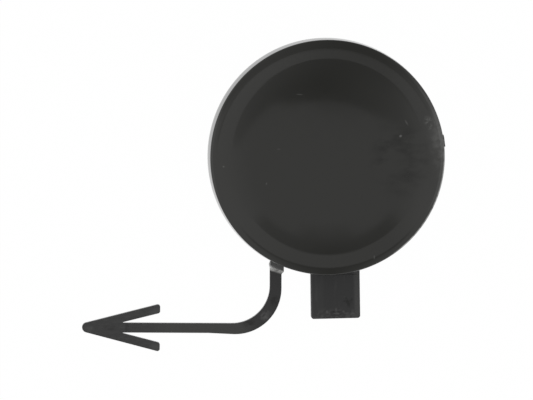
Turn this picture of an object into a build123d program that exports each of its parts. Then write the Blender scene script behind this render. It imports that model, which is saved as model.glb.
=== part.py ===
from build123d import *
import os
from math import cos, radians, sin, tan

# Round cover for the towing-eye opening of a bumper, moulded in one piece.
# The origin is the centre of the skirt's rear rim and +Z points out of the face.
# The cover lies on its hooks, tongue runners and strap, with its face upwards.
# All lengths are in millimetres and all angles in degrees.

# Face and skirt
fit_radius = 36.3
fit_land = 1.8
side_draft = 3.7
face_height = 8.6
edge_round = 0.7
edge_roll_round = 5.8
edge_roll_slope = 23.0
ring_width = 2.9
crease_round = 9.0
dome_rim_slope = 7.0
dome_flat_radius = 17.0
dome_flat_slope = 1.3
face_wall = 2.2
skirt_wall = 1.9
inner_bevel = 0.8

# Ribs behind the face
rib_thickness = 1.0
rib_height = 1.6
rib_ring_radius = 18.0
rib_angles = (45, 135)

# Where the cover stands, and the panel that its hooks grip
floor_depth = 6.5
panel_gap = 3.2

# Snap hooks
hook_angles = (45, 135)
hook_inset = 5.0
hook_thickness = 1.6
hook_width = 8.0
hook_catch = 1.7
hook_catch_height = 0.7
hook_tip = 1.1
gusset_thickness = 1.0
gusset_length = 4.5
gusset_spacing = 5.4
gusset_foot = 1.2

# Tuck-in tongue, its neck, and the low pad that takes up the play behind the panel
tongue_lean = 0.9
tongue_offset = 2.8
tongue_width = 15.2
tongue_thickness = 2.0
tongue_length = 14.35
tongue_edge_round = 0.6
tongue_end_round = 0.4
neck_inset = 5.2
neck_thickness = 2.0
neck_round = 1.2
neck_gusset = 4.0
runner_thickness = 1.3
runner_spacing = 8.4
runner_end_gap = 3.0
pad_height = 0.25
pad_start_gap = 0.8
pad_end_gap = 1.3
pad_left_margin = 1.7
pad_left_ramp = 2.1
pad_right_margin = 0.6
pad_right_ramp = 1.2
ridge_length = 2.3
ridge_thickness = 0.5
ridge_height = 0.2
ridge_end_gap = 1.9

# Retaining strap
strap_thickness = 1.5
strap_root_width = 3.6
strap_bend_width = 3.35
strap_tail_width = 3.0
strap_inner_bend = 11.6
strap_outer_bend = 14.2
strap_turn = 90.8
strap_run = 17.8
strap_tail_length = 59.85
strap_taper = 8.0
strap_edge_bevel = 0.25

# Stepped root of the strap
root_angle = 247.5
root_skew = 3.5
root_step = 1.3
root_flare = 0.3
root_web = 1.3
root_slope = 76.0
root_pad = 1.6
root_round = 0.4

# Arrow head
arrow_length = 24.0
arrow_slope = 14.6
arrow_barb_end = 2.8
arrow_crotch = 11.7
arrow_tip_round = 1.54
arrow_corner_round = 0.75

# Depths shared by several features
mid_wall = face_wall / 2
weld = 0.4
panel_z = -panel_gap
floor_z = -floor_depth
strap_top = floor_z + strap_thickness

# The flat ring rolls over gently, then turns sharply down into the drafted side
draft = radians(side_draft)
roll_slope = radians(edge_roll_slope)
roll_z = face_height - edge_roll_round * (1 - cos(roll_slope))
edge_z = roll_z - edge_round * (cos(roll_slope) - sin(draft))
edge_x = fit_radius - (edge_z - fit_land) * tan(draft)
roll_x = edge_x - edge_round * (cos(draft) - sin(roll_slope))
ring_outer = roll_x - edge_roll_round * sin(roll_slope)
ring_inner = ring_outer - ring_width
rim_slope = radians(dome_rim_slope)
crease_x = ring_inner - crease_round * sin(rim_slope)
crease_z = face_height + crease_round * (1 - cos(rim_slope))
inner_radius = fit_radius - skirt_wall
inner_z = crease_z - face_wall

# The low dome is a nearly flat crown, then a shoulder that falls to the crease
flat_slope = radians(dome_flat_slope)
crown_radius = dome_flat_radius / sin(flat_slope)
shoulder_radius = (crease_x - dome_flat_radius) / (sin(rim_slope) - sin(flat_slope))
shoulder_rise = shoulder_radius * (cos(flat_slope) - cos(rim_slope))
crown_z = crease_z + shoulder_rise + crown_radius * (1 - cos(flat_slope))


def dome_line(drop):
    """Half section of the low dome, lowered by drop, from the axis to the crease."""
    crown = JernArc((0, crown_z - drop), (1, 0), crown_radius, -dome_flat_slope)
    return JernArc(crown @ 1, crown % 1, shoulder_radius, dome_flat_slope - dome_rim_slope)


def radial_plane(angle, offset=0.0):
    """Upright plane whose x runs outwards at angle, moved sideways by offset."""
    outwards = Vector(cos(radians(angle)), sin(radians(angle)), 0)
    sideways = Vector(-outwards.Y, outwards.X, 0)
    return Plane(origin=sideways * offset, x_dir=outwards, z_dir=-sideways)


# Face and skirt, one wall thick, turned about Z
with BuildPart() as shell:
    with BuildSketch(Plane.XZ):
        with BuildLine():
            shoulder = dome_line(0)
            crease = JernArc(shoulder @ 1, shoulder % 1, crease_round, dome_rim_slope)
            ring = Line(crease @ 1, (ring_outer, face_height))
            roll = JernArc(ring @ 1, ring % 1, edge_roll_round, -edge_roll_slope)
            edge = JernArc(roll @ 1, roll % 1, edge_round, edge_roll_slope + side_draft - 90)
            under = dome_line(face_wall)
            Polyline(
                edge @ 1,
                (fit_radius, fit_land),
                (fit_radius, 0),
                (inner_radius, 0),
                (inner_radius, inner_z - inner_bevel),
                (inner_radius - inner_bevel, inner_z),
                under @ 1,
            )
            Line((0, crown_z - face_wall), (0, crown_z))
        make_face()
    revolve(axis=Axis.Z)

# Stiffening ribs: a ring and two bars, cut off inside the face's wall
with BuildPart() as ribs:
    with BuildSketch(Plane.XY.offset(inner_z - rib_height)):
        Circle(rib_ring_radius + rib_thickness / 2)
        Circle(rib_ring_radius - rib_thickness / 2, mode=Mode.SUBTRACT)
        for angle in rib_angles:
            Rectangle(2 * inner_radius + weld, rib_thickness, rotation=angle)
    extrude(amount=crown_z - inner_z + rib_height)
    with BuildSketch(Plane.XZ):
        with BuildLine():
            rib_top = dome_line(mid_wall)
            Polyline(
                rib_top @ 1,
                (inner_radius + weld, crease_z - mid_wall),
                (inner_radius + weld, inner_z - rib_height),
                (0, inner_z - rib_height),
                (0, crown_z - mid_wall),
            )
        make_face()
    revolve(axis=Axis.Z, mode=Mode.INTERSECT)

# One snap hook, drawn at angle 0: a springy stem with a catch and a lead-in ramp
hook_radius = inner_radius - hook_inset
hook_back = hook_radius + hook_thickness
gusset_low = panel_z + gusset_foot
with BuildPart() as hook:
    with BuildSketch(radial_plane(0)):
        with BuildLine():
            Polyline(
                (hook_radius, crease_z - mid_wall),
                (hook_back, crease_z - mid_wall),
                (hook_back, panel_z),
                (hook_back + hook_catch, panel_z),
                (hook_back + hook_catch, panel_z - hook_catch_height),
                (hook_radius + hook_tip, floor_z),
                (hook_radius, floor_z),
                close=True,
            )
        make_face()
    extrude(amount=hook_width / 2, both=True)
    for side in (-1, 1):
        with BuildSketch(radial_plane(0, side * gusset_spacing / 2)):
            with BuildLine():
                Polyline(
                    (hook_radius + weld, crease_z - mid_wall),
                    (hook_radius - gusset_length, crease_z - mid_wall),
                    (hook_radius - gusset_length, inner_z - gusset_foot),
                    (hook_radius, gusset_low),
                    (hook_radius + weld, gusset_low),
                    close=True,
                )
            make_face()
        extrude(amount=gusset_thickness / 2, both=True)

# Tongue: a neck from the face, then a plate that tucks in behind the panel
neck_radius = inner_radius - neck_inset
tongue_reach = fit_radius + tongue_length
tongue_bottom = panel_z - tongue_thickness
tongue_plane = radial_plane(270 + tongue_lean, tongue_offset)
with BuildPart() as tongue:
    with BuildSketch(tongue_plane):
        with BuildLine():
            FilletPolyline(
                (neck_radius, crease_z - mid_wall),
                (neck_radius, tongue_bottom),
                (tongue_reach, tongue_bottom),
                (tongue_reach, panel_z),
                (neck_radius + neck_thickness, panel_z),
                (neck_radius + neck_thickness, crease_z - mid_wall),
                radius=[0, neck_round, 0, 0, neck_round / 2, 0],
                close=True,
            )
        make_face()
    extrude(amount=tongue_width / 2, both=True)
    plate_top = tongue.faces().filter_by(Axis.Z).sort_by(Axis.Z)[-2]
    fillet(plate_top.edges().filter_by(Axis((0, 0, 0), tongue_plane.x_dir)), tongue_edge_round)
    plate_end = tongue.faces().sort_by(Axis.Y)[0]
    fillet(plate_end.edges().sort_by(Axis.Z)[1:], tongue_end_round)

# Runners under the tongue, which reach the floor, and gussets up its neck
runner_start = neck_radius + neck_round
runner_end = tongue_reach - runner_end_gap
with BuildPart() as runners:
    for side in (-1, 1):
        with BuildSketch(radial_plane(270 + tongue_lean, tongue_offset + side * runner_spacing / 2)):
            with BuildLine():
                Polyline(
                    (runner_start, tongue_bottom + weld),
                    (runner_start, floor_z),
                    (runner_end - floor_depth - tongue_bottom, floor_z),
                    (runner_end, tongue_bottom),
                    (runner_end, tongue_bottom + weld),
                    close=True,
                )
            make_face()
            with BuildLine():
                Polyline(
                    (neck_radius + weld, crease_z - mid_wall),
                    (neck_radius - neck_gusset, crease_z - mid_wall),
                    (neck_radius - neck_gusset, inner_z - gusset_foot),
                    (neck_radius, gusset_low),
                    (neck_radius + weld, gusset_low),
                    close=True,
                )
            make_face()
        extrude(amount=runner_thickness / 2, both=True)

# Low pad on the tongue, ramped at both sides, with a short ridge near its end.
# The section is drawn across the tongue and runs along it.
pad_start = fit_radius + pad_start_gap
pad_end = tongue_reach - pad_end_gap
pad_plane = Plane(
    origin=tongue_plane.origin + tongue_plane.x_dir * pad_start,
    x_dir=-tongue_plane.z_dir,
    z_dir=tongue_plane.x_dir,
)
half_tongue = tongue_width / 2
with BuildPart() as pad:
    with BuildSketch(pad_plane):
        with BuildLine():
            Polyline(
                (pad_left_margin - half_tongue, panel_z),
                (pad_left_margin + pad_left_ramp - half_tongue, panel_z + pad_height),
                (half_tongue - pad_right_margin - pad_right_ramp, panel_z + pad_height),
                (half_tongue - pad_right_margin, panel_z),
                (half_tongue - pad_right_margin, panel_z - pad_height),
                (pad_left_margin - half_tongue, panel_z - pad_height),
                close=True,
            )
        make_face()
    extrude(amount=pad_end - pad_start)
    with BuildSketch(tongue_plane):
        with Locations((tongue_reach - ridge_end_gap, panel_z + pad_height)):
            Rectangle(ridge_thickness, 2 * ridge_height)
    extrude(amount=ridge_length / 2, both=True)

# Strap root: a lug under the rim, then a steep web down to the strap's level.
# The step's line is turned a little from square to the radius.
step_angle = root_angle - root_skew
step_cos = cos(radians(step_angle))
step_sin = sin(radians(step_angle))
web_run = 1 / tan(radians(root_slope))
web_shift = root_web / sin(radians(root_slope))
root_reach = fit_radius + root_step
foot_reach = root_reach - strap_top * web_run
strap_x = foot_reach / cos(radians(root_skew)) * cos(radians(root_angle))
left_x = strap_x - strap_root_width / 2
right_x = strap_x + strap_root_width / 2


def root_y(x, reach):
    """Place along Y where a line across the root, at that reach, crosses x."""
    return (reach - x * step_cos) / step_sin


# The root is trimmed from stock that is wider, longer and taller than the strap
root_stock = 3 * strap_root_width
root_back_y = root_y(left_x, inner_radius - 2 * root_pad)
strap_start_y = root_y(right_x, foot_reach) - weld
foot_end_y = strap_start_y - strap_thickness
foot_end = left_x * step_cos + foot_end_y * step_sin + weld
strap_corner_y = root_y(strap_x, foot_reach) - strap_run

# The tail leaves the bend along one heading, and its places are told from the corner
heading = radians(270 - strap_turn)
tail_along = Vector(cos(heading), sin(heading), 0)
tail_across = Vector(tail_along.Y, -tail_along.X, 0)
tail_corner = Vector(strap_x, strap_corner_y, 0)


def tail_point(along, across):
    """Point of the strap's outline, along the tail and across it towards the face."""
    point = tail_corner + tail_along * along + tail_across * across
    return (point.X, point.Y)


def tail_crossing(x, across):
    """Distance along the tail where a line that runs beside it crosses x."""
    return (x - tail_corner.X - tail_across.X * across) / tail_along.X


inner_side = strap_tail_width / 2
outer_side = inner_side - strap_bend_width
inner_corner = tail_crossing(left_x, inner_side)
outer_corner = tail_crossing(right_x, outer_side)
taper_start = outer_corner + strap_outer_bend * tan(radians(strap_turn / 2)) + weld
taper_end = taper_start + strap_taper
arrow_apex = arrow_tip_round - arrow_tip_round / sin(radians(arrow_slope))
arrow_side = (arrow_length - arrow_apex) * tan(radians(arrow_slope))
tail_end = strap_tail_length - arrow_crotch + strap_tail_width
arrow_plane = Plane(
    origin=(*tail_point(strap_tail_length, 0), floor_z),
    x_dir=-tail_along,
    z_dir=(0, 0, 1),
)

with BuildPart() as strap:
    with BuildSketch(radial_plane(step_angle)):
        with BuildLine():
            FilletPolyline(
                (inner_radius - root_pad, root_pad),
                (inner_radius + skirt_wall / 2, root_pad),
                (inner_radius + skirt_wall / 2, 0),
                (root_reach, 0),
                (foot_reach, strap_top),
                (foot_end, strap_top),
                (foot_end, floor_z),
                (root_reach - floor_z * web_run - web_shift, floor_z),
                (root_reach + strap_thickness * web_run - web_shift, -strap_thickness),
                (inner_radius - root_pad, -strap_thickness),
                radius=[0, 0, 0, root_round, 0, 0, 0, root_round, 0, 0],
                close=True,
            )
        make_face()
    extrude(amount=root_stock, both=True)
    with BuildSketch(Plane.XY.offset(floor_z)):
        with BuildLine():
            Polyline(
                (left_x - root_flare, root_back_y),
                (left_x - root_flare, root_y(left_x - root_flare, root_reach)),
                (left_x, root_y(left_x, foot_reach)),
                (left_x, foot_end_y),
                (right_x, foot_end_y),
                (right_x, root_y(right_x, foot_reach)),
                (right_x + root_flare, root_y(right_x + root_flare, root_reach)),
                (right_x + root_flare, root_back_y),
                close=True,
            )
        make_face()
    extrude(amount=root_stock, mode=Mode.INTERSECT)
    with BuildSketch(Plane.XY.offset(floor_z)):
        with BuildLine():
            FilletPolyline(
                (left_x, strap_start_y),
                tail_point(inner_corner, inner_side),
                tail_point(tail_end, inner_side),
                tail_point(tail_end, -inner_side),
                tail_point(taper_end, -inner_side),
                tail_point(taper_start, outer_side),
                tail_point(outer_corner, outer_side),
                (right_x, strap_start_y),
                radius=[0, strap_inner_bend, 0, 0, 0, 0, strap_outer_bend, 0],
                close=True,
            )
        make_face()
    with BuildSketch(arrow_plane):
        with BuildLine():
            FilletPolyline(
                (arrow_apex, 0),
                (arrow_length, -arrow_side),
                (arrow_length, arrow_barb_end - arrow_side),
                (arrow_crotch, -inner_side),
                (arrow_crotch, inner_side),
                (arrow_length, arrow_side - arrow_barb_end),
                (arrow_length, arrow_side),
                radius=[arrow_tip_round, arrow_corner_round, arrow_corner_round, 0,
                        0, arrow_corner_round, arrow_corner_round],
                close=True,
            )
        make_face()
    extrude(amount=strap_thickness)
    strap_faces = strap.faces().filter_by(Axis.Z).sort_by(SortBy.AREA)[-2:]
    strap_rim = strap_faces.sort_by(Axis.Z)[-1].edges().sort_by(Axis.Y)[:-1]
    chamfer(strap_rim, strap_edge_bevel)

# The whole moulding
with BuildPart() as tow_hook_cover:
    add(shell.part)
    add(ribs.part)
    for angle in hook_angles:
        add(hook.part, rotation=(0, 0, angle))
    add(tongue.part)
    add(runners.part)
    add(pad.part)
    add(strap.part)

tow_hook_cover.part.label = "tow_hook_cover"
os.makedirs("parts", exist_ok=True)
export_step(tow_hook_cover.part, "parts/tow_hook_cover.step")
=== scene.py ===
from math import cos, pi, radians, sin, tan
from random import Random
import bmesh
import bpy
from mathutils import Matrix, Vector


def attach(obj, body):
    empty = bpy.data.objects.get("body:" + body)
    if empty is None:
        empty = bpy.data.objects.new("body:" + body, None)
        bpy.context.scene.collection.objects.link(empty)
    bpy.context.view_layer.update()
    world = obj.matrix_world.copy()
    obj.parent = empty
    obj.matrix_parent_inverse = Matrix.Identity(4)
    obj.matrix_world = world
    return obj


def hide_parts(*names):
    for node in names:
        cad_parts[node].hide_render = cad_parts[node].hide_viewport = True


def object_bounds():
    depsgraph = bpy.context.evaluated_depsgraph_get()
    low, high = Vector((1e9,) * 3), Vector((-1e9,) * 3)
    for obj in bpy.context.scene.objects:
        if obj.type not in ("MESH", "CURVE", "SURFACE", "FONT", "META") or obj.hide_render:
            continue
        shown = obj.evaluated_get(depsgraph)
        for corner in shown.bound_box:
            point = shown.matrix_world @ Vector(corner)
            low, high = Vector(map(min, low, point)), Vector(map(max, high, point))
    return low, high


# Dressed model of the tow hook cover: one black moulding that lies face up on its
# hooks, tongue and strap. Lengths are in metres and angles in radians, unless a list says
# otherwise. Lengths that differ by less than CLOSE count as the same.
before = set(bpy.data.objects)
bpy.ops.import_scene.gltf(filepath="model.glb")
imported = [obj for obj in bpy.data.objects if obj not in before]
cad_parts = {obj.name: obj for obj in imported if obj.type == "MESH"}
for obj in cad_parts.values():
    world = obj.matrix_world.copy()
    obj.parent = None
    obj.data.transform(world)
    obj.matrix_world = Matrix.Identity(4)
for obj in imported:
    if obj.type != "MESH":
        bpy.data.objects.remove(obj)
cad_low, cad_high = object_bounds()
MM = 0.001
CLOSE = 1e-7
MERGE = 0.001 * MM
SHARP_ANGLE = radians(32)

# Face and skirt
FIT_RADIUS = cad_high.x
FLOOR = cad_low.z
FIT_LAND = 1.8 * MM
SIDE_DRAFT = radians(3.7)
FACE_HEIGHT = 8.6 * MM
EDGE_ROUND = 0.7 * MM
ROLL_ROUND = 5.8 * MM
ROLL_SLOPE = radians(23.0)
RING_WIDTH = 2.9 * MM
CREASE_ROUND = 9.0 * MM
RIM_SLOPE = radians(7.0)
FLAT_RADIUS = 17.0 * MM
FLAT_SLOPE = radians(1.3)
FACE_WALL = 2.2 * MM
SKIRT_WALL = 1.9 * MM
INNER_BEVEL = 0.8 * MM
RIM_ROUND = 0.15 * MM
TURNS = 240

# Ribs behind the face
RIB_THICKNESS = 1.0 * MM
RIB_HEIGHT = 1.6 * MM
RIB_RING = 18.0 * MM
RIB_ANGLES = (radians(45), radians(135))
RIB_EDGE = 0.15 * MM

# Snap hooks
PANEL = -3.2 * MM
HOOK_INSET = 5.0 * MM
HOOK_THICKNESS = 1.6 * MM
HOOK_WIDTH = 8.0 * MM
HOOK_CATCH = 1.7 * MM
CATCH_HEIGHT = 0.7 * MM
HOOK_TIP = 1.1 * MM
HOOK_ROUND = 0.2 * MM
CATCH_ROUND = 0.1 * MM
HOOK_EDGE = 0.15 * MM
GUSSET_THICKNESS = 1.0 * MM
GUSSET_LENGTH = 4.5 * MM
GUSSET_SPACING = 5.4 * MM
GUSSET_FOOT = 1.2 * MM
GUSSET_EDGE = 0.1 * MM

# Tongue, its neck, runners and pad
TONGUE_ANGLE = radians(270.9)
TONGUE_OFFSET = 2.8 * MM
TONGUE_WIDTH = 15.2 * MM
TONGUE_THICKNESS = 2.0 * MM
TONGUE_LENGTH = 14.35 * MM
TONGUE_CORNER = 0.8 * MM
TONGUE_EDGE = 0.6 * MM
NECK_INSET = 5.2 * MM
NECK_THICKNESS = 2.0 * MM
NECK_ROUND = 1.2 * MM
NECK_GUSSET = 4.0 * MM
RUNNER_THICKNESS = 1.3 * MM
RUNNER_SPACING = 8.4 * MM
RUNNER_END_GAP = 3.0 * MM
RUNNER_ROUND = 0.3 * MM
RUNNER_EDGE = 0.15 * MM
PAD_HEIGHT = 0.25 * MM
PAD_START_GAP = 0.8 * MM
PAD_END_GAP = 1.3 * MM
PAD_LEFT = (1.7 * MM, 2.1 * MM)
PAD_RIGHT = (0.6 * MM, 1.2 * MM)
RIDGE_LENGTH = 2.3 * MM
RIDGE_THICKNESS = 0.5 * MM
RIDGE_HEIGHT = 0.2 * MM
RIDGE_END_GAP = 1.9 * MM
RIDGE_ROUND = 0.1 * MM

# Strap and its stepped root
STRAP_THICKNESS = 1.5 * MM
ROOT_WIDTH = 3.6 * MM
BEND_WIDTH = 3.35 * MM
TAIL_WIDTH = 3.0 * MM
INNER_BEND = 11.6 * MM
OUTER_BEND = 14.2 * MM
STRAP_TURN = radians(90.8)
STRAP_RUN = 17.8 * MM
TAIL_LENGTH = 59.85 * MM
TAPER = 8.0 * MM
STRAP_EDGE = 0.3 * MM
ROOT_ANGLE = radians(247.5)
ROOT_SKEW = radians(3.5)
ROOT_STEP = 1.3 * MM
ROOT_FLARE = 0.3 * MM
ROOT_WEB = 1.3 * MM
ROOT_SLOPE = radians(76.0)
ROOT_PAD = 1.6 * MM
ROOT_ROUND = 0.4 * MM

# Arrow head
ARROW_LENGTH = 24.0 * MM
ARROW_SLOPE = radians(14.6)
BARB_END = 2.8 * MM
ARROW_CROTCH = 11.7 * MM
TIP_ROUND = 1.54 * MM
BARB_ROUND = 0.75 * MM
CROTCH_ROUND = 0.12 * MM

# Gate mark on the side wall, and the marks of the pins that push the moulding out
GATE_ANGLE = radians(8)
GATE_SIZE = (0.6 * MM, 3.6 * MM, 1.0 * MM)
GATE_Z = 6.9 * MM
GATE_SINK = 0.06 * MM
GATE_UNEVEN = 0.07 * MM
GATE_SEED = 7
PIN_RADIUS = 2.0 * MM
PIN_HEIGHT = 0.15 * MM
PIN_REACH = 10.5 * MM

# Colours of the one black plastic: as moulded, with painted sheen on the face's sides, rubbed or with painted
# sheen on the tongue's plate, and pale where it was bent or nicked or for a painted highlight
PLASTIC = (0.021, 0.021, 0.019, 1)
DEEP_BLACK = (0.010, 0.010, 0.009, 1)
# Painted sheen: paler colour on the left and right of the face's outer part
SIDE_SHEEN = (0.031, 0.031, 0.029, 1)
TONGUE_PLASTIC = (0.0245, 0.0245, 0.0245, 1)
STRAP_PLASTIC = (0.027, 0.027, 0.027, 1)
TAIL_PLASTIC = (0.042, 0.042, 0.040, 1)
ARROW_PLASTIC = (0.033, 0.033, 0.033, 1)
# Paler colour of rubbed plastic, also used for painted sheen on the tongue's plate
RUBBED_AND_SHEEN = (0.044, 0.044, 0.043, 1)
# Pale of plastic whitened where it was bent or nicked, also used for the painted highlight on the face's edge
WHITENED_AND_HIGHLIGHT = (0.42, 0.42, 0.41, 1)

# Gloss, and the heights of the finest unevenness
SPECULAR = 0.34
SATIN_ROUGHNESS = 0.11
WORN_ROUGHNESS = 0.3
STRAP_ROUGHNESS = 0.34
HIDDEN_ROUGHNESS = 0.5
ROUGHNESS_SPREAD = 0.08
HIDDEN_GRAIN = 0.012 * MM
SEEN_GRAIN = 0.0004 * MM
RUB_HEIGHT = 0.02 * MM
WAVE_HEIGHT = 0.03 * MM
FLOW_HEIGHT = -0.015 * MM

# The outer finish: how far down from the face its front goes, how far into the skirt's wall
# its side goes, and over what length it changes to the hidden side's
FINISH_DEPTH = 0.75 * MM
WALL_MIDDLE = 0.9 * MM
LEVEL_BLUR = 0.05 * MM
WALL_BLUR = 0.1 * MM

# Ranges in which a look comes in, from where there is none of it to where it is full: along x
# for the strap, tongue, tail and arrow head, and for the paler strips of painted sheen on the tongue's plate
# in from its edges. The painted highlight on the face's edge comes in along the radius too, half of it on
# each side of ROLL_X.
STRAP_RANGE = (-7.0 * MM, -7.5 * MM)
TONGUE_RANGE = (-7.5 * MM, -7.0 * MM)
TAIL_RANGE = (-20.0 * MM, -26.0 * MM)
ARROW_RANGE = (-48.0 * MM, -56.0 * MM)
# Where the painted sheen lies: to the left and right of the face, towards its rim, fading out towards the
# bottom
SHEEN_LEFT_X = (16.0 * MM, -20.0 * MM)
SHEEN_RIGHT_X = (16.0 * MM, 30.0 * MM)
SHEEN_RADIUS = (22.0 * MM, 34.0 * MM)
SHEEN_Y = (-38.0 * MM, -16.0 * MM)
# Painted sheen on the tongue's plate: strips in from its left and right edges, over the pad's sloped sides
# and the plate's rounded edges, and a mottled strip at its end
PLATE_LEFT_SHEEN = (4.2 * MM, 3.6 * MM)
PLATE_LEFT_EDGE_SHEEN = (1.0 * MM, 0.0)
PLATE_RIGHT_SHEEN = (2.3 * MM, 1.2 * MM)
PLATE_END_Y = (-46.5 * MM, -49.5 * MM)
# Painted highlight: a pale broken line on the rounded edge at the face's lower right
EDGE_HIGHLIGHT_HALF = 0.1 * MM
EDGE_HIGHLIGHT_X = (18.0 * MM, 24.0 * MM)
EDGE_HIGHLIGHT_Y = (8.0 * MM, -4.0 * MM)

# Pale band across the strap's root: its direction, and the ranges outwards in that direction
BAND_ANGLE = radians(252.8)
LUG_RANGE = (37.9 * MM, 37.6 * MM)
BAND_START = (37.5 * MM, 37.8 * MM)
BAND_END = (39.3 * MM, 38.6 * MM)

# Centres and reaches of the clouded, worn and crazed places
CRAZE_CENTRE = (-18.1 * MM, -49.7 * MM, -5.0 * MM)
CRAZE_REACH = (2.4 * MM, 1.8 * MM, 3.0 * MM)
CRAZE_TURN = radians(40)
FLOW_CENTRE = (22.0 * MM, -0.5 * MM, 9.0 * MM)
FLOW_REACH = (11.5 * MM, 14.0 * MM, 6.0 * MM)
HAZE_CENTRE = (36.0 * MM, 8.5 * MM, 7.5 * MM)
HAZE_REACH = (7.5 * MM, 13.0 * MM, 8.0 * MM)
SCUFF_CENTRE = (31.2 * MM, 10.5 * MM, 8.6 * MM)
SCUFF_REACH = (2.8 * MM, 2.0 * MM, 3.0 * MM)
SCUFF_TURN = radians(-60)
RIM_WEAR_CENTRE = (35.0 * MM, 6.0 * MM, 7.0 * MM)
RIM_WEAR_REACH = (5.0 * MM, 16.0 * MM, 8.0 * MM)

# How much of its colour each of them takes on
# Share of the painted sheen over the pad's left slope
PLATE_SHEEN_SHARE = 0.2
STREAK_SHARE = 0.45
BLOTCH_SHARE = 0.8
LUG_SHARE = 0.12
CRAZE_SHARE = 0.15
FLOW_SHARE = 0.7
SCUFF_SHARE = 0.2
RIM_WEAR_SHARE = 0.09
HAZE_SHARE = 0.052
# Share of the painted highlight on the face's edge
EDGE_HIGHLIGHT_SHARE = 0.65

# Single marks: x, y, half length and half width in mm, turn in degrees, strength
MARK_DEPTH = 40.0 * MM
MARK_FADE = 0.7
NICKS = (
    (-8.8, 19.4, 1.4, 0.26, -4, 0.07), (-15.2, 2.8, 0.8, 0.3, 0, 0.035), (-18.9, -7.7, 0.3, 0.5, 0, 0.08),
    (-31.9, -2.5, 0.4, 0.35, 0, 0.12), (22.1, 6.6, 0.6, 0.5, 30, 0.18), (23.9, 10.7, 1.3, 0.35, -60, 0.07),
    (14.2, -30.5, 0.28, 0.8, 0, 0.10),
)
SCUFFS = (
    (3.66, -47.95, 0.5, 1.0, 0, 0.07), (3.66, -49.0, 1.6, 0.3, 0, 0.07), (0.83, -48.5, 0.45, 0.8, 0, 0.05),
    (5.96, -48.4, 0.45, 0.5, 0, 0.07), (6.4, -43.8, 0.4, 0.5, 0, 0.03), (8.9, -49.4, 1.1, 0.9, 0, 0.05),
    (-72.6, -53.3, 2.2, 1.4, 0, 0.03), (-52.3, -48.1, 2.2, 1.3, 15, 0.03),
    (-52.3, -59.2, 2.4, 1.3, -15, 0.03),
)
DARK_MARKS = (
    (7.1, -45.3, 2.7, 0.7, -68, 0.9), (7.9, -45.6, 2.2, 0.7, 61, 0.9), (6.2, -44.9, 0.7, 0.8, 0, 0.8),
    (3.66, -49.6, 1.6, 0.25, 0, 0.7), (-15.3, -45.3, 1.8, 2.4, -20, 0.7), (-23.2, -52.0, 2.6, 1.4, 15, 0.7),
    (-66.3, -53.1, 2.4, 1.4, 0, 0.45), (-60.8, -53.2, 1.0, 2.2, 0, 0.45),
)

# The room: surroundings, floor, and the outlines in (x, y) of the cards that the face reflects
WORLD_LIGHT = 0.8
FLOOR_SIZE = 3.0
FLOOR_GAP = 0.01 * MM
FLOOR_WHITE = 0.99
PAPER = (0.9, 0.9, 0.9, 1)
CARD_MIDDLE = 0.065
FAR_CARD = (
    (0.40, 0.024), (0.196, 0.014), (0.11, 0.008), (0.07, 0.010), (-0.038, 0.062), (-0.095, 0.028),
    (-0.147, -0.020), (-0.60, -0.020), (-0.60, 0.75), (0.40, 0.75),
)
NEAR_CARD = (
    (-0.067, -0.173), (-0.034, -0.195), (0.010, -0.209), (0.035, -0.165), (0.100, -0.165), (0.123, -0.209),
    (0.172, -0.195), (0.209, -0.173), (0.258, -0.220), (0.310, -0.300), (0.310, -0.770), (-0.180, -0.770),
    (-0.180, -0.300), (-0.128, -0.220),
)

# Depths and places that several features share
WELD = 0.4 * MM
STRAP_TOP = FLOOR + STRAP_THICKNESS
FACE_LOW = FACE_HEIGHT - FINISH_DEPTH
ROLL_Z = FACE_HEIGHT - ROLL_ROUND * (1 - cos(ROLL_SLOPE))
EDGE_Z = ROLL_Z - EDGE_ROUND * (cos(ROLL_SLOPE) - sin(SIDE_DRAFT))
EDGE_X = FIT_RADIUS - (EDGE_Z - FIT_LAND) * tan(SIDE_DRAFT)
ROLL_X = EDGE_X - EDGE_ROUND * (cos(SIDE_DRAFT) - sin(ROLL_SLOPE))
RING_OUTER = ROLL_X - ROLL_ROUND * sin(ROLL_SLOPE)
CREASE_X = RING_OUTER - RING_WIDTH - CREASE_ROUND * sin(RIM_SLOPE)
CREASE_Z = FACE_HEIGHT + CREASE_ROUND * (1 - cos(RIM_SLOPE))
INNER_RADIUS = FIT_RADIUS - SKIRT_WALL
INNER_Z = CREASE_Z - FACE_WALL
MID_Z = CREASE_Z - FACE_WALL / 2
CROWN_RADIUS = FLAT_RADIUS / sin(FLAT_SLOPE)
SHOULDER_RADIUS = (CREASE_X - FLAT_RADIUS) / (sin(RIM_SLOPE) - sin(FLAT_SLOPE))
SHOULDER_RISE = SHOULDER_RADIUS * (cos(FLAT_SLOPE) - cos(RIM_SLOPE))
CROWN_Z = CREASE_Z + SHOULDER_RISE + CROWN_RADIUS * (1 - cos(FLAT_SLOPE))


# Drawing with bmesh operators

def arc_on(bm, vert, centre, axis, angle, steps):
    """Carries a line on from vert by an arc about centre, and returns its last vertex."""
    made = bmesh.ops.spin(bm, geom=[vert], cent=centre, axis=axis, angle=angle, steps=steps)
    return [v for v in made["geom_last"] if isinstance(v, bmesh.types.BMVert)][0]


def line_on(bm, vert, point, steps=1):
    """Carries a line on from vert straight to point, and returns its last vertex."""
    start = vert.co.copy()
    for step in range(1, steps + 1):
        vert = bmesh.ops.extrude_vert_indiv(bm, verts=[vert])["verts"][0]
        vert.co = start.lerp(Vector(point), step / steps)
    return vert


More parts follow.
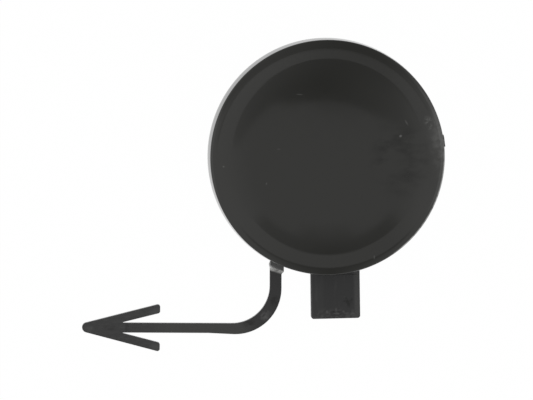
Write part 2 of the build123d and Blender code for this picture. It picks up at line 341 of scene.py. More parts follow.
def outline(bm, corners, steps=8):
    """Flat face in XY through corners, each (x, y, radius), with arcs where radius isn't 0."""
    count = len(corners)
    first = last = None
    for index, (x, y, radius) in enumerate(corners):
        corner = Vector((x, y, 0))
        before = (corner - Vector((*corners[index - 1][:2], 0))).normalized()
        after = (Vector((*corners[(index + 1) % count][:2], 0)) - corner).normalized()
        turn = before.to_2d().angle_signed(after.to_2d()) * -1
        start = corner - before * radius * tan(abs(turn) / 2)
        last = line_on(bm, last, start) if last else bm.verts.new(start)
        first = first or last
        if radius:
            side = 1 if turn > 0 else -1
            centre = start + Vector((-before.y, before.x, 0)) * radius * side
            last = arc_on(bm, last, centre, (0, 0, 1), turn, steps)
    bm.edges.new((last, first))
    return bmesh.ops.contextual_create(bm, geom=list(bm.edges))["faces"][0]


def thicken(bm, face, vector):
    """Extrudes a flat face along vector into a closed block."""
    made = bmesh.ops.extrude_face_region(bm, geom=[face])["geom"]
    verts = [v for v in made if isinstance(v, bmesh.types.BMVert)]
    bmesh.ops.translate(bm, verts=verts, vec=vector)


def soften(bm, picked, width, segments=2):
    """Rounds the edges that picked(edge) is true for."""
    edges = [e for e in bm.edges if picked(e)]
    bmesh.ops.bevel(bm, geom=edges, offset=width, segments=segments, profile=0.5,
                    affect="EDGES", material=-1, clamp_overlap=True)


def at_height(edge, z):
    """Whether both ends of the edge are at height z of the drawing."""
    return all(abs(v.co.z - z) < CLOSE for v in edge.verts)


def placed(bm, name, place=None):
    """Makes an object of the bmesh, put in its place, with its faces pointing outwards."""
    if place:
        bmesh.ops.transform(bm, matrix=place, verts=bm.verts)
    bmesh.ops.recalc_face_normals(bm, faces=bm.faces)
    mesh = bpy.data.meshes.new(name)
    bm.to_mesh(mesh)
    bm.free()
    made = bpy.data.objects.new(name, mesh)
    bpy.context.scene.collection.objects.link(made)
    return made


def directions(angle):
    """Level directions outwards at angle, and to the left of that."""
    outwards = Vector((cos(angle), sin(angle), 0))
    return outwards, Vector((-outwards.y, outwards.x, 0))


def upright(angle, offset=0.0):
    """Place of a drawing whose x runs outwards at angle, whose y is up and z is to its right."""
    outwards, sideways = directions(angle)
    turn = Matrix((outwards, Vector((0, 0, 1)), -sideways)).transposed()
    return Matrix.Translation(sideways * offset) @ turn.to_4x4()


def prism(name, corners, width, place, steps=8, edge=0.0):
    """Block with that outline, extruded by width about the drawing's own plane."""
    bm = bmesh.new()
    thicken(bm, outline(bm, corners, steps), (0, 0, width))
    bmesh.ops.translate(bm, verts=bm.verts, vec=(0, 0, -width / 2))
    if edge:
        soften(bm, lambda e: at_height(e, width / 2) or at_height(e, -width / 2), edge)
    return placed(bm, name, place)


def combine(whole, parts, operation):
    """Joins or cuts whole with all the parts at once, and deletes the parts."""
    tools = bpy.data.collections.new("tools")
    bpy.context.scene.collection.children.link(tools)
    for part in parts:
        tools.objects.link(part)
    boolean = whole.modifiers.new("combine", "BOOLEAN")
    boolean.operation = operation
    boolean.solver = "EXACT"
    boolean.operand_type = "COLLECTION"
    boolean.collection = tools
    bpy.context.view_layer.update()
    evaluated = whole.evaluated_get(bpy.context.evaluated_depsgraph_get())
    mesh = bpy.data.meshes.new_from_object(evaluated)
    whole.modifiers.clear()
    whole.data = mesh
    for part in parts:
        bpy.data.objects.remove(part)
    bpy.data.collections.remove(tools)


# The moulding's features

def face_and_skirt():
    """Low dome, crease, flat ring, rounded edge and skirt: one wall turned about Z."""
    bm = bmesh.new()
    across = (0, 1, 0)
    vert = bm.verts.new((0, 0, CROWN_Z))
    vert = arc_on(bm, vert, (0, 0, CROWN_Z - CROWN_RADIUS), across, FLAT_SLOPE, 20)
    flat = Vector((sin(FLAT_SLOPE), 0, cos(FLAT_SLOPE)))
    rim = Vector((sin(RIM_SLOPE), 0, cos(RIM_SLOPE)))
    shoulder = vert.co - flat * SHOULDER_RADIUS
    vert = arc_on(bm, vert, shoulder, across, RIM_SLOPE - FLAT_SLOPE, 16)
    vert = arc_on(bm, vert, vert.co + rim * CREASE_ROUND, across, -RIM_SLOPE, 6)
    vert = line_on(bm, vert, (RING_OUTER, 0, FACE_HEIGHT), 4)
    vert = arc_on(bm, vert, (RING_OUTER, 0, FACE_HEIGHT - ROLL_ROUND), across, ROLL_SLOPE, 8)
    roll = Vector((sin(ROLL_SLOPE), 0, cos(ROLL_SLOPE)))
    edge_turn = pi / 2 - SIDE_DRAFT - ROLL_SLOPE
    vert = arc_on(bm, vert, vert.co - roll * EDGE_ROUND, across, edge_turn, 14)
    vert = line_on(bm, vert, (FIT_RADIUS, 0, FIT_LAND), 3)
    vert = line_on(bm, vert, (FIT_RADIUS, 0, RIM_ROUND), 2)
    vert = arc_on(bm, vert, (FIT_RADIUS - RIM_ROUND, 0, RIM_ROUND), across, pi / 2, 3)
    vert = line_on(bm, vert, (INNER_RADIUS + RIM_ROUND, 0, 0), 2)
    vert = arc_on(bm, vert, (INNER_RADIUS + RIM_ROUND, 0, RIM_ROUND), across, pi / 2, 3)
    corner_z = INNER_Z - INNER_BEVEL
    vert = line_on(bm, vert, (INNER_RADIUS, 0, corner_z), 3)
    vert = arc_on(bm, vert, (INNER_RADIUS - INNER_BEVEL, 0, corner_z), across, -pi / 2, 5)
    vert = line_on(bm, vert, (CREASE_X, 0, INNER_Z), 5)
    under_shoulder = shoulder - Vector((0, 0, FACE_WALL))
    vert = arc_on(bm, vert, under_shoulder, across, FLAT_SLOPE - RIM_SLOPE, 10)
    under_crown = (0, 0, CROWN_Z - FACE_WALL - CROWN_RADIUS)
    arc_on(bm, vert, under_crown, across, -FLAT_SLOPE, 10)
    bmesh.ops.spin(bm, geom=list(bm.verts) + list(bm.edges), cent=(0, 0, 0), axis=(0, 0, 1),
                   angle=2 * pi, steps=TURNS, use_merge=True)
    bmesh.ops.remove_doubles(bm, verts=bm.verts, dist=MERGE)
    return placed(bm, "tow_hook_cover_moulding")


def ribs():
    """Two bars and a ring that stiffen the face from behind."""
    low = INNER_Z - RIB_HEIGHT
    bar_length = 2 * INNER_RADIUS + WELD
    half = RIB_THICKNESS / 2
    made = []
    for angle in RIB_ANGLES:
        bm = bmesh.new()
        bmesh.ops.create_cube(bm, size=1)
        bmesh.ops.scale(bm, vec=(bar_length, RIB_THICKNESS, MID_Z - low), verts=bm.verts)
        bmesh.ops.translate(bm, vec=(0, 0, (MID_Z + low) / 2), verts=bm.verts)
        soften(bm, lambda e: at_height(e, low), RIB_EDGE)
        made.append(placed(bm, "rib", Matrix.Rotation(angle, 4, "Z")))
    bm = bmesh.new()
    section = [(RIB_RING - half, low), (RIB_RING + half, low),
               (RIB_RING + half, MID_Z), (RIB_RING - half, MID_Z)]
    verts = [bm.verts.new((x, 0, z)) for x, z in section]
    edges = bmesh.ops.contextual_create(bm, geom=verts)["faces"][0].edges[:]
    bmesh.ops.delete(bm, geom=list(bm.faces), context="FACES_ONLY")
    bmesh.ops.spin(bm, geom=verts + edges, cent=(0, 0, 0), axis=(0, 0, 1), angle=2 * pi,
                   steps=TURNS // 2, use_merge=True)
    bmesh.ops.remove_doubles(bm, verts=bm.verts, dist=MERGE)
    made.append(placed(bm, "rib"))
    return made


def gusset_outline(wall, length):
    """Outline of a gusset that reaches in by length from the inner side of an upright wall."""
    return [
        (wall + WELD, MID_Z, 0), (wall - length, MID_Z, 0), (wall - length, INNER_Z - GUSSET_FOOT, 0),
        (wall, PANEL + GUSSET_FOOT, 0), (wall + WELD, PANEL + GUSSET_FOOT, 0),
    ]


def hooks():
    """Two snap hooks, each a springy stem with a catch, a lead-in ramp and two gussets."""
    inside = INNER_RADIUS - HOOK_INSET
    back = inside + HOOK_THICKNESS
    catch = back + HOOK_CATCH
    stem = [
        (inside, MID_Z, 0), (inside, FLOOR, HOOK_ROUND), (inside + HOOK_TIP, FLOOR, HOOK_ROUND),
        (catch, PANEL - CATCH_HEIGHT, HOOK_ROUND), (catch, PANEL, CATCH_ROUND),
        (back, PANEL, HOOK_ROUND), (back, MID_Z, 0),
    ]
    gusset = gusset_outline(inside, GUSSET_LENGTH)
    made = []
    for angle in RIB_ANGLES:
        made.append(prism("hook", stem, HOOK_WIDTH, upright(angle), 3, HOOK_EDGE))
        for side in (-1, 1):
            place = upright(angle, side * GUSSET_SPACING / 2)
            made.append(prism("gusset", gusset, GUSSET_THICKNESS, place, 3, GUSSET_EDGE))
    return made


def tongue():
    """Neck and plate of the tuck-in tongue, its runners and gussets, and the pad on it."""
    neck = INNER_RADIUS - NECK_INSET
    neck_back = neck + NECK_THICKNESS
    throat = neck_back + NECK_ROUND / 2
    reach = FIT_RADIUS + TONGUE_LENGTH
    low = PANEL - TONGUE_THICKNESS
    half = TONGUE_WIDTH / 2
    bm = bmesh.new()
    section = [
        (neck, MID_Z, 0), (neck, low, NECK_ROUND), (reach, low, 0), (reach, PANEL, 0),
        (neck_back, PANEL, NECK_ROUND / 2), (neck_back, MID_Z, 0),
    ]
    thicken(bm, outline(bm, section, 6), (0, 0, TONGUE_WIDTH))
    bmesh.ops.translate(bm, verts=bm.verts, vec=(0, 0, -half))

    def at_x(edge, x):
        return all(abs(v.co.x - x) < CLOSE for v in edge.verts)

    def plate_corner(edge):
        """Whether the edge is one of the two upright ones at the plate's end."""
        return at_x(edge, reach) and abs(edge.verts[0].co.z - edge.verts[1].co.z) < CLOSE

    def plate_rim(edge):
        """Whether the edge is one around the plate's upper side, but for the one at the neck."""
        on_top = all(abs(v.co.y - PANEL) < CLOSE and v.co.x > throat - CLOSE for v in edge.verts)
        return on_top and not at_x(edge, throat)

    soften(bm, plate_corner, TONGUE_CORNER, 5)
    soften(bm, plate_rim, TONGUE_EDGE, 4)
    made = [placed(bm, "tongue", upright(TONGUE_ANGLE, TONGUE_OFFSET))]
    runner_end = reach - RUNNER_END_GAP
    runner = [
        (neck + NECK_ROUND, low + WELD, 0), (neck + NECK_ROUND, FLOOR, 0),
        (runner_end + FLOOR - low, FLOOR, RUNNER_ROUND), (runner_end, low, 0),
        (runner_end, low + WELD, 0),
    ]
    gusset = gusset_outline(neck, NECK_GUSSET)
    for side in (-1, 1):
        place = upright(TONGUE_ANGLE, TONGUE_OFFSET + side * RUNNER_SPACING / 2)
        made.append(prism("runner", runner, RUNNER_THICKNESS, place, 3, RUNNER_EDGE))
        made.append(prism("neck_gusset", gusset, RUNNER_THICKNESS, place, 3, GUSSET_EDGE))
    pad_start = FIT_RADIUS + PAD_START_GAP
    pad_length = reach - PAD_END_GAP - pad_start
    pad = [
        (PAD_LEFT[0] - half, 0, 0), (PAD_LEFT[0] - half, -PAD_HEIGHT, 0),
        (half - PAD_RIGHT[0], -PAD_HEIGHT, 0), (half - PAD_RIGHT[0], 0, 0),
        (half - sum(PAD_RIGHT), PAD_HEIGHT, 0), (sum(PAD_LEFT) - half, PAD_HEIGHT, 0),
    ]
    outwards, sideways = directions(TONGUE_ANGLE)
    turn = Matrix((sideways, Vector((0, 0, 1)), outwards)).transposed().to_4x4()
    middle = outwards * (pad_start + pad_length / 2) + sideways * TONGUE_OFFSET
    place = Matrix.Translation(middle + Vector((0, 0, PANEL))) @ turn
    made.append(prism("pad", pad, pad_length, place))
    near = reach - RIDGE_END_GAP - RIDGE_THICKNESS / 2
    far = near + RIDGE_THICKNESS
    y = PANEL + PAD_HEIGHT
    ridge = [
        (near, y - RIDGE_HEIGHT, 0), (far, y - RIDGE_HEIGHT, 0),
        (far, y + RIDGE_HEIGHT, RIDGE_ROUND), (near, y + RIDGE_HEIGHT, RIDGE_ROUND),
    ]
    made.append(prism("ridge", ridge, RIDGE_LENGTH, upright(TONGUE_ANGLE, TONGUE_OFFSET), 3))
    return made


# Places along the strap, told from the corner where the middle lines of its two runs meet
STEP_ANGLE = ROOT_ANGLE - ROOT_SKEW
WEB_RUN = 1 / tan(ROOT_SLOPE)
ROOT_REACH = FIT_RADIUS + ROOT_STEP
FOOT_REACH = ROOT_REACH - STRAP_TOP * WEB_RUN
STRAP_X = FOOT_REACH / cos(ROOT_SKEW) * cos(ROOT_ANGLE)
LEFT_X = STRAP_X - ROOT_WIDTH / 2
RIGHT_X = STRAP_X + ROOT_WIDTH / 2


def root_y(x, reach):
    """Place along Y where a line across the root, at that reach, crosses x."""
    return (reach - x * cos(STEP_ANGLE)) / sin(STEP_ANGLE)


STRAP_START = root_y(RIGHT_X, FOOT_REACH) - WELD
HEADING = radians(270) - STRAP_TURN
ALONG = Vector((cos(HEADING), sin(HEADING)))
ACROSS = Vector((ALONG.y, -ALONG.x))
TAIL_CORNER = Vector((STRAP_X, root_y(STRAP_X, FOOT_REACH) - STRAP_RUN))


def tail(along, across, radius=0.0):
    """Corner of the strap's outline, along the tail and across it towards the face."""
    point = TAIL_CORNER + ALONG * along + ACROSS * across
    return (point.x, point.y, radius)


def tail_crossing(x, across):
    """Distance along the tail where a line that runs beside it crosses x."""
    return (x - TAIL_CORNER.x - ACROSS.x * across) / ALONG.x


def strap():
    """Flat strap with its bend and arrow head, drawn as one outline."""
    inner = TAIL_WIDTH / 2
    outer = inner - BEND_WIDTH
    outer_corner = tail_crossing(RIGHT_X, outer)
    taper_start = outer_corner + OUTER_BEND * tan(STRAP_TURN / 2) + WELD
    apex = TIP_ROUND - TIP_ROUND / sin(ARROW_SLOPE)
    barb = (ARROW_LENGTH - apex) * tan(ARROW_SLOPE)
    tip = TAIL_LENGTH
    corners = [
        (RIGHT_X, STRAP_START, 0), (LEFT_X, STRAP_START, 0),
        tail(tail_crossing(LEFT_X, inner), inner, INNER_BEND),
        tail(tip - ARROW_CROTCH, inner, CROTCH_ROUND),
        tail(tip - ARROW_LENGTH, barb - BARB_END, BARB_ROUND),
        tail(tip - ARROW_LENGTH, barb, BARB_ROUND),
        tail(tip - apex, 0, TIP_ROUND),
        tail(tip - ARROW_LENGTH, -barb, BARB_ROUND),
        tail(tip - ARROW_LENGTH, BARB_END - barb, BARB_ROUND),
        tail(tip - ARROW_CROTCH, -inner, CROTCH_ROUND),
        tail(taper_start + TAPER, -inner), tail(taper_start, outer),
        tail(outer_corner, outer, OUTER_BEND),
    ]
    bm = bmesh.new()
    thicken(bm, outline(bm, corners, 24), (0, 0, STRAP_THICKNESS))
    soften(bm, lambda e: at_height(e, STRAP_THICKNESS), STRAP_EDGE, 3)
    return placed(bm, "strap", Matrix.Translation((0, 0, FLOOR)))


def strap_root():
    """Lug under the rim and the steep web that steps down to the strap."""
    web = ROOT_WEB / sin(ROOT_SLOPE)
    foot_y = STRAP_START - STRAP_THICKNESS
    foot = LEFT_X * cos(STEP_ANGLE) + foot_y * sin(STEP_ANGLE) + WELD
    stock = 3 * ROOT_WIDTH
    section = [
        (INNER_RADIUS - ROOT_PAD, ROOT_PAD, 0), (INNER_RADIUS - ROOT_PAD, -STRAP_THICKNESS, 0),
        (ROOT_REACH + STRAP_THICKNESS * WEB_RUN - web, -STRAP_THICKNESS, 0),
        (ROOT_REACH - FLOOR * WEB_RUN - web, FLOOR, ROOT_ROUND), (foot, FLOOR, 0),
        (foot, STRAP_TOP, 0), (FOOT_REACH, STRAP_TOP, 0), (ROOT_REACH, 0, ROOT_ROUND),
        (INNER_RADIUS + SKIRT_WALL / 2, 0, 0), (INNER_RADIUS + SKIRT_WALL / 2, ROOT_PAD, 0),
    ]
    root = prism("root", section, stock, upright(STEP_ANGLE), 5)
    back_y = root_y(LEFT_X, INNER_RADIUS - 2 * ROOT_PAD)
    left = LEFT_X - ROOT_FLARE
    right = RIGHT_X + ROOT_FLARE
    plan = [
        (left, back_y, 0), (left, root_y(left, ROOT_REACH), 0), (LEFT_X, root_y(LEFT_X, FOOT_REACH), 0),
        (LEFT_X, foot_y, 0), (RIGHT_X, foot_y, 0), (RIGHT_X, root_y(RIGHT_X, FOOT_REACH), 0),
        (right, root_y(right, ROOT_REACH), 0), (right, back_y, 0),
    ]
    corridor = prism("corridor", plan, 2 * stock, Matrix.Identity(4))
    combine(root, [corridor], "INTERSECT")
    return root


def gate_mark():
    """Stub of plastic, trimmed unevenly, where the moulding was filled."""
    bm = bmesh.new()
    bmesh.ops.create_cube(bm, size=1)
    bmesh.ops.subdivide_edges(bm, edges=bm.edges, cuts=3, use_grid_fill=True)
    bmesh.ops.scale(bm, vec=GATE_SIZE, verts=bm.verts)
    shake = Random(GATE_SEED)
    for vert in bm.verts:
        vert.co += Vector([shake.uniform(-GATE_UNEVEN, GATE_UNEVEN) for _ in range(3)])
    wall = FIT_RADIUS - (GATE_Z - FIT_LAND) * tan(SIDE_DRAFT)
    place = Matrix.Rotation(GATE_ANGLE, 4, "Z") @ Matrix.Translation((wall - GATE_SINK, 0, GATE_Z))
    return placed(bm, "gate_mark", place)


def pin_marks():
    """Low round marks on the hidden side of the face."""
    under = CROWN_Z - FACE_WALL - CROWN_RADIUS + (CROWN_RADIUS ** 2 - PIN_REACH ** 2) ** 0.5
    low = under - PIN_HEIGHT
    made = []
    for quarter in range(4):
        bm = bmesh.new()
        bmesh.ops.create_cone(bm, cap_ends=True, segments=40, radius1=PIN_RADIUS, radius2=PIN_RADIUS,
                              depth=MID_Z - low)
        turn = Matrix.Rotation(quarter * pi / 2, 4, "Z")
        made.append(placed(bm, "pin_mark", turn @ Matrix.Translation((PIN_REACH, 0, (MID_Z + low) / 2))))
    return made


# Finish

def blank_material(name):
    """New material and its emptied node tree."""
    material = bpy.data.materials.new(name)
    material.use_nodes = True
    material.node_tree.nodes.clear()
    return material, material.node_tree


def node(tree, kind, **inputs):
    """Adds a shader node, with a value or a socket for each input: its name, or _ and its number."""
    made = tree.nodes.new(kind)
    for name, value in inputs.items():
        socket = made.inputs[int(name[1:])] if name[1:].isdigit() else made.inputs[name.replace("_", " ")]
        if isinstance(value, bpy.types.NodeSocket):
            tree.links.new(value, socket)
        else:
            socket.default_value = value
    return made


def object_place(tree):
    """Place on the object as one vector, and its x, y and z."""
    place = node(tree, "ShaderNodeTexCoord").outputs["Object"]
    return place, *node(tree, "ShaderNodeSeparateXYZ", Vector=place).outputs


def calc(tree, operation, *values):
    """Output of a Math node that works on values, each a number or a socket."""
    made = node(tree, "ShaderNodeMath", **{f"_{index}": value for index, value in enumerate(values)})
    made.operation = operation
    return made.outputs[0]


def chain(tree, operation, values):
    """Output of the operation on the first two values, then on that and the third, and so on."""
    result = values[0]
    for value in values[1:]:
        result = calc(tree, operation, result, value)
    return result


def times(tree, *values):
    """Product of values, each a number or a socket."""
    return chain(tree, "MULTIPLY", values)


def largest(tree, *values):
    """Largest of values, each a number or a socket."""
    return chain(tree, "MAXIMUM", values)


def ramp(tree, value, low, high):
    """Goes smoothly from 0 where value is low to 1 where it is high, which may be the smaller one."""
    made = node(tree, "ShaderNodeMapRange", _0=value, _1=low, _2=high)
    made.interpolation_type = "SMOOTHSTEP"
    return made.outputs[0]


def spot(tree, place, centre, reach, turn=0.0):
    """Goes from 1 at centre to 0 at reach, an ellipsoid's half lengths, turned about Z."""
    local = node(tree, "ShaderNodeMapping", Vector=place, Location=centre, Rotation=(0, 0, turn), Scale=reach)
    local.vector_type = "TEXTURE"
    made = node(tree, "ShaderNodeTexGradient", Vector=local.outputs[0])
    made.gradient_type = "SPHERICAL"
    return made.outputs["Fac"]


def full_spot(tree, place, centre, reach, fade, turn=0.0):
    """Spot that goes from 1 to 0 within the outermost share, fade, of its reach."""
    return ramp(tree, spot(tree, place, centre, reach, turn), 0.0, fade)


def noise(tree, place, scale, detail=2.0, stretch=(1, 1, 1)):
    """Noise with scale lumps in a metre, drawn out along an axis where stretch is below 1."""
    local = node(tree, "ShaderNodeMapping", Vector=place, Scale=stretch)
    made = node(tree, "ShaderNodeTexNoise", Vector=local.outputs[0], Scale=scale, Detail=detail)
    return made.outputs["Fac"]


def patches(tree, place, scale, detail, low, high, stretch=(1, 1, 1)):
    """Goes from 0 where that noise is low to 1 where it is high."""
    return ramp(tree, noise(tree, place, scale, detail, stretch), low, high)


def blend(tree, factor, first, second):
    """Mixes two colours, or two numbers, by factor."""
    coloured = any(isinstance(v, tuple) or getattr(v, "type", "") == "RGBA" for v in (first, second))
    slots = ("_6", "_7") if coloured else ("_2", "_3")
    made = node(tree, "ShaderNodeMix", **dict(zip(slots, (first, second))), _0=factor)
    made.data_type = "RGBA" if coloured else "FLOAT"
    return made.outputs[2 if coloured else 0]


def marks(tree, place, listed, z):
    """Strongest of the listed marks, which go right through the plastic about height z."""
    made = []
    for x, y, half_length, half_width, turn, strength in listed:
        reach = (half_length * MM, half_width * MM, MARK_DEPTH)
        mark = full_spot(tree, place, (x * MM, y * MM, z), reach, MARK_FADE, radians(turn))
        made.append(times(tree, mark, strength))
    return largest(tree, *made)


def black_moulding():
    """Unpainted black plastic: satin face, scuffed tongue and strap, fine matt hidden side, with painted
    sheen on the face's sides and the tongue's plate and a painted highlight on the face's edge.
    """
    material, tree = blank_material("black moulded plastic")
    place, x, y, z = object_place(tree)
    level = node(tree, "ShaderNodeCombineXYZ", X=x, Y=y).outputs[0]
    length = node(tree, "ShaderNodeVectorMath", _0=level)
    length.operation = "LENGTH"
    radius = length.outputs["Value"]

    # Where each surface is
    wall = INNER_RADIUS + WALL_MIDDLE
    front = ramp(tree, z, FACE_LOW - LEVEL_BLUR, FACE_LOW)
    side = times(tree, ramp(tree, radius, wall, wall + WALL_BLUR), ramp(tree, z, -LEVEL_BLUR, 0.0))
    outside = ramp(tree, radius, FIT_RADIUS, FIT_RADIUS + WALL_BLUR)
    on_strap = times(tree, outside, ramp(tree, x, *STRAP_RANGE))
    on_tongue = times(tree, outside, ramp(tree, x, *TONGUE_RANGE))
    on_tail = times(tree, on_strap, ramp(tree, x, *TAIL_RANGE))
    on_arrow = times(tree, on_strap, ramp(tree, x, *ARROW_RANGE))
    satin = largest(tree, front, side)
    seen = largest(tree, satin, outside)

    # Colour of each surface, and paler strips on the plate: painted sheen on the pad's sloped sides and the
    # plate's rounded side edges, and a mottled strip at its end
    mottle = noise(tree, place, 900.0, 3.0)
    # Painted sheen: the left and right of the face's outer part made paler
    side_sheen = largest(tree, ramp(tree, x, *SHEEN_LEFT_X), ramp(tree, x, *SHEEN_RIGHT_X))
    side_sheen = times(tree, side_sheen, ramp(tree, radius, *SHEEN_RADIUS), ramp(tree, y, *SHEEN_Y))
    colour = blend(tree, times(tree, side_sheen, satin), PLASTIC, SIDE_SHEEN)
    for surface, plastic in ((on_tongue, TONGUE_PLASTIC), (on_strap, STRAP_PLASTIC),
                             (on_tail, TAIL_PLASTIC), (on_arrow, ARROW_PLASTIC)):
        colour = blend(tree, surface, colour, plastic)
    # Painted sheen: paler strips where the pad's sloped sides and the plate's rounded edges face the light,
    # and a mottled strip at the plate's end
    across = node(tree, "ShaderNodeMapping", Vector=place, Rotation=(0, 0, radians(270) - TONGUE_ANGLE))
    across = node(tree, "ShaderNodeSeparateXYZ", Vector=across.outputs[0]).outputs["X"]
    from_left = calc(tree, "SUBTRACT", across, TONGUE_OFFSET - TONGUE_WIDTH / 2)
    from_right = calc(tree, "SUBTRACT", TONGUE_OFFSET + TONGUE_WIDTH / 2, across)
    strips = largest(tree, times(tree, ramp(tree, from_left, *PLATE_LEFT_SHEEN), PLATE_SHEEN_SHARE),
                     ramp(tree, from_left, *PLATE_LEFT_EDGE_SHEEN), ramp(tree, from_right, *PLATE_RIGHT_SHEEN),
                     times(tree, ramp(tree, y, *PLATE_END_Y), ramp(tree, mottle, 0.42, 0.6)))
    colour = blend(tree, times(tree, on_tongue, strips), colour, RUBBED_AND_SHEEN)

    # Rubbed streaks along the strap and the tongue, and blotches on the arrow head
    along = times(tree, on_tail, patches(tree, place, 700.0, 3.0, 0.5, 0.72, (0.12, 1, 1)))
    down = times(tree, on_tongue, patches(tree, place, 700.0, 3.0, 0.52, 0.75, (1, 0.15, 1)))
    streaks = times(tree, largest(tree, along, down), STREAK_SHARE)
    blotches = patches(tree, place, 1200.0, 4.0, 0.45, 0.7, (0.5, 1, 1))
    blotches = times(tree, on_arrow, blotches, BLOTCH_SHARE)
    colour = blend(tree, largest(tree, streaks, blotches), colour, RUBBED_AND_SHEEN)

    # Plastic that turned pale where the strap is bent to and fro
    reach = calc(tree, "MULTIPLY_ADD", x, cos(BAND_ANGLE), times(tree, y, sin(BAND_ANGLE)))
    lug = times(tree, on_strap, ramp(tree, reach, *LUG_RANGE), LUG_SHARE)
    fibres = patches(tree, place, 1700.0, 2.0, 0.05, 0.55, (1, 0.08, 0.08))
    band = times(tree, on_strap, ramp(tree, reach, *BAND_START), ramp(tree, reach, *BAND_END), fibres)
    colour = blend(tree, largest(tree, band, lug), colour, WHITENED_AND_HIGHLIGHT)
    crazed = full_spot(tree, place, CRAZE_CENTRE, CRAZE_REACH, 0.6, CRAZE_TURN)
    crazed = times(tree, crazed, patches(tree, place, 1500.0, 3.0, 0.2, 0.9), CRAZE_SHARE)
    colour = blend(tree, crazed, colour, WHITENED_AND_HIGHLIGHT)

    # Cloudy flow marks beside the gate, then nicks, scuffs and wear that show pale on the face, and a painted
    # highlight along its rounded edge at the lower right
    cloud = times(tree, front, full_spot(tree, place, FLOW_CENTRE, FLOW_REACH, 0.6))
    flow = times(tree, cloud, patches(tree, place, 230.0, 5.0, 0.4, 0.68, (0.6, 1, 1)))
    colour = blend(tree, times(tree, flow, FLOW_SHARE), colour, DEEP_BLACK)
    scuff = times(tree, spot(tree, place, SCUFF_CENTRE, SCUFF_REACH, SCUFF_TURN),
                  patches(tree, place, 1100.0, 4.0, 0.4, 0.7), SCUFF_SHARE)
    rim_wear = times(tree, full_spot(tree, place, RIM_WEAR_CENTRE, RIM_WEAR_REACH, 0.8),
                     patches(tree, place, 620.0, 4.0, 0.3, 0.75), RIM_WEAR_SHARE)
    haze = times(tree, full_spot(tree, place, HAZE_CENTRE, HAZE_REACH, 0.9), HAZE_SHARE)
    by_gate = calc(tree, "ADD", largest(tree, scuff, rim_wear), haze)
    # Painted highlight: pale along the rounded edge at the lower right of the face, broken by noise
    edge_highlight = times(tree, ramp(tree, radius, ROLL_X - EDGE_HIGHLIGHT_HALF, ROLL_X + EDGE_HIGHLIGHT_HALF),
                      ramp(tree, x, *EDGE_HIGHLIGHT_X), ramp(tree, y, *EDGE_HIGHLIGHT_Y),
                      patches(tree, place, 620.0, 4.0, 0.15, 0.6), EDGE_HIGHLIGHT_SHARE)
    pale = times(tree, largest(tree, marks(tree, place, NICKS, CREASE_Z), by_gate, edge_highlight), front)
    colour = blend(tree, pale, colour, WHITENED_AND_HIGHLIGHT)

    # Dark and pale marks on the strap and the tongue
    dark = times(tree, marks(tree, place, DARK_MARKS, PANEL), ramp(tree, mottle, 0.3, 0.55), outside)
    colour = blend(tree, dark, colour, DEEP_BLACK)
    colour = blend(tree, times(tree, marks(tree, place, SCUFFS, PANEL), outside), colour, WHITENED_AND_HIGHLIGHT)

    # Gloss and the shape of the surface
    roughness = blend(tree, satin, HIDDEN_ROUGHNESS, SATIN_ROUGHNESS)
    roughness = blend(tree, outside, roughness, STRAP_ROUGHNESS)
    roughness = blend(tree, largest(tree, flow, pale), roughness, WORN_ROUGHNESS)
    uneven = calc(tree, "SUBTRACT", mottle, 0.5)
    roughness = calc(tree, "MULTIPLY_ADD", uneven, ROUGHNESS_SPREAD, roughness)
    grain = times(tree, noise(tree, place, 4200.0), blend(tree, seen, HIDDEN_GRAIN, SEEN_GRAIN))
    rubs = times(tree, outside, times(tree, mottle, RUB_HEIGHT))
    waves = times(tree, noise(tree, place, 70.0, 1.0), WAVE_HEIGHT)
    ripples = times(tree, cloud, times(tree, flow, FLOW_HEIGHT))
    height = calc(tree, "ADD", calc(tree, "ADD", grain, rubs), calc(tree, "ADD", waves, ripples))
    bump = node(tree, "ShaderNodeBump", Strength=1.0, Distance=1.0, Height=height)
    shader = node(tree, "ShaderNodeBsdfPrincipled", Base_Color=colour, Roughness=roughness,
                  Specular_IOR_Level=SPECULAR, Normal=bump.outputs[0])
    node(tree, "ShaderNodeOutputMaterial", Surface=shader.outputs[0])
    return material


# The room

def white_floor():
    """Pale floor that reads as white, with the cover's own soft shadow on it."""
    bm = bmesh.new()
    bmesh.ops.create_grid(bm, x_segments=1, y_segments=1, size=FLOOR_SIZE)
    floor = placed(bm, "floor", Matrix.Translation((0, 0, FLOOR - FLOOR_GAP)))
    material, tree = blank_material("white floor")
    ray = node(tree, "ShaderNodeLightPath").outputs
    seen = chain(tree, "ADD", [ray[f"Is {kind} Ray"] for kind in ("Camera", "Glossy", "Transmission")])
    paper = node(tree, "ShaderNodeBsdfDiffuse", Color=PAPER)
    white = node(tree, "ShaderNodeEmission", Strength=1.0)
    mixed = node(tree, "ShaderNodeMixShader", _0=times(tree, seen, FLOOR_WHITE), _1=paper.outputs[0],
                 _2=white.outputs[0])
    node(tree, "ShaderNodeOutputMaterial", Surface=mixed.outputs[0])
    floor.data.materials.append(material)


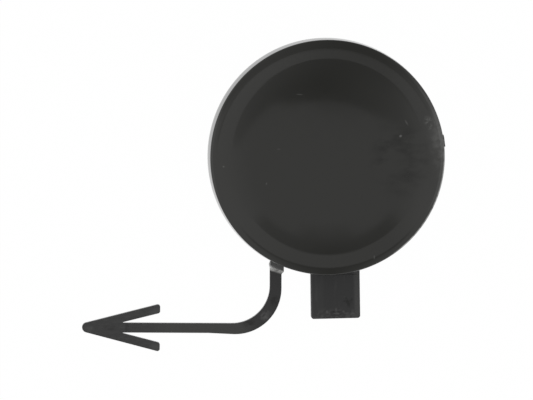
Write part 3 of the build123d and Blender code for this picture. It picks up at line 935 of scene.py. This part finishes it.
def dark_card(name, near, far, corners, dark, reach, leftward, upper, lower, core=None):
    """Dim card in the slanting plane through near and far, each a (y, z), for reflections only.

    It glows from dark at CARD_MIDDLE to WORLD_LIGHT at reach to the right, and distances to the
    left count by leftward. Upper and lower are (z, share, glow): at that height the sideways
    distance counts by share, and glow is added. Core is (half width, glow, high, low): glow
    added in the middle, all of it at the height high and none at low.
    """
    slope = (far[1] - near[1]) / (far[0] - near[0])
    bm = bmesh.new()
    outline(bm, [(x, y, 0) for x, y in corners])
    for vert in bm.verts:
        vert.co.z = near[1] + (vert.co.y - near[0]) * slope
    card = placed(bm, name)
    material, tree = blank_material(name)
    _, x, _, z = object_place(tree)

    def between(value, low, high, at_low, at_high):
        """Goes evenly from at_low where value is low to at_high where it is high."""
        made = node(tree, "ShaderNodeMapRange", _0=value, _1=low, _2=high, _3=at_low, _4=at_high)
        return made.outputs[0]

    share = between(z, upper[0], lower[0], upper[1], lower[1])
    aside = calc(tree, "SUBTRACT", x, CARD_MIDDLE)
    aside = largest(tree, aside, times(tree, aside, -leftward))
    glow = between(times(tree, aside, share), 0.0, reach, dark, WORLD_LIGHT)
    glow = calc(tree, "ADD", glow, between(z, upper[0], lower[0], upper[2], lower[2]))
    if core:
        half_width, core_glow, high, low = core
        middle = times(tree, between(aside, 0.0, half_width, core_glow, 0.0), between(z, high, low, 1.0, 0.0))
        glow = calc(tree, "ADD", glow, middle)
    light = node(tree, "ShaderNodeEmission", Color=(1, 1, 1, 1), Strength=glow)
    node(tree, "ShaderNodeOutputMaterial", Surface=light.outputs[0])
    card.data.materials.append(material)
    card.visible_camera = False
    card.visible_shadow = False
    card.visible_diffuse = False


def softbox(name, place, size, radiance):
    """Square lamp that faces the cover's middle, of an even brightness."""
    lamp = bpy.data.lights.new(name, "AREA")
    lamp.size = size
    lamp.energy = radiance * pi * size * size
    made = bpy.data.objects.new(name, lamp)
    bpy.context.scene.collection.objects.link(made)
    made.location = place
    made.rotation_euler = (-Vector(place)).to_track_quat("-Z", "Y").to_euler()
    made.visible_camera = False


# Build
cover = face_and_skirt()
combine(cover, ribs() + hooks() + tongue() + pin_marks() + [strap(), strap_root(), gate_mark()], "UNION")
cover.data.materials.clear()
cover.data.materials.append(black_moulding())
cover.data.shade_smooth()
cover.data.set_sharp_from_angle(angle=SHARP_ANGLE)
cover.modifiers.new("weighted", "WEIGHTED_NORMAL").keep_sharp = True
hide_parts("tow_hook_cover")
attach(cover, "root")

white_floor()
dark_card("far card", near=(0.018, 0.80), far=(0.75, 0.02), corners=FAR_CARD, dark=0.07, reach=0.27,
          leftward=0.65, upper=(0.74, 1.0, 0.0), lower=(0.62, 0.35, 0.04))
dark_card("near card", near=(-0.20, 0.70), far=(-0.77, 0.02), corners=NEAR_CARD, dark=0.12, reach=0.45,
          leftward=1.0, upper=(0.66, 1.0, 0.0), lower=(0.58, 2.0, 0.02), core=(0.13, 0.55, 0.72, 0.645))
softbox("left softbox", place=(-0.60, 0.0, 0.42), size=0.5, radiance=0.4)
softbox("right softbox", place=(0.60, 0.0, 0.42), size=0.5, radiance=0.7)
world = bpy.data.worlds.new("studio")
bpy.context.scene.world = world
world.use_nodes = True
background = world.node_tree.nodes["Background"]
background.inputs["Color"].default_value = (1, 1, 1, 1)
background.inputs["Strength"].default_value = WORLD_LIGHT

# Camera at the photograph's viewing angle: nearly overhead, leaning to the upper left
VIEW_TILT = radians(6.4)
VIEW_AZIMUTH = radians(134)
VIEW_DISTANCE = 1.0
VIEW_AIM = Vector((-18.78, -12.79, 8.0)) * MM
FOCAL_PIXELS = 3284
FRAME_PIXELS = 533
SENSOR_WIDTH = 36
back = Vector((sin(VIEW_TILT) * cos(VIEW_AZIMUTH), sin(VIEW_TILT) * sin(VIEW_AZIMUTH), cos(VIEW_TILT)))
up = (Vector((0, 1, 0)) - back * back.y).normalized()
camera = bpy.data.objects.new("camera", bpy.data.cameras.new("camera"))
bpy.context.scene.collection.objects.link(camera)
camera.data.sensor_width = SENSOR_WIDTH
camera.data.lens = FOCAL_PIXELS / FRAME_PIXELS * SENSOR_WIDTH
turn = Matrix((up.cross(back), up, back)).transposed().to_4x4()
camera.matrix_world = Matrix.Translation(VIEW_AIM + back * VIEW_DISTANCE) @ turn
bpy.context.scene.camera = camera
bpy.context.scene.view_settings.view_transform = "Standard"
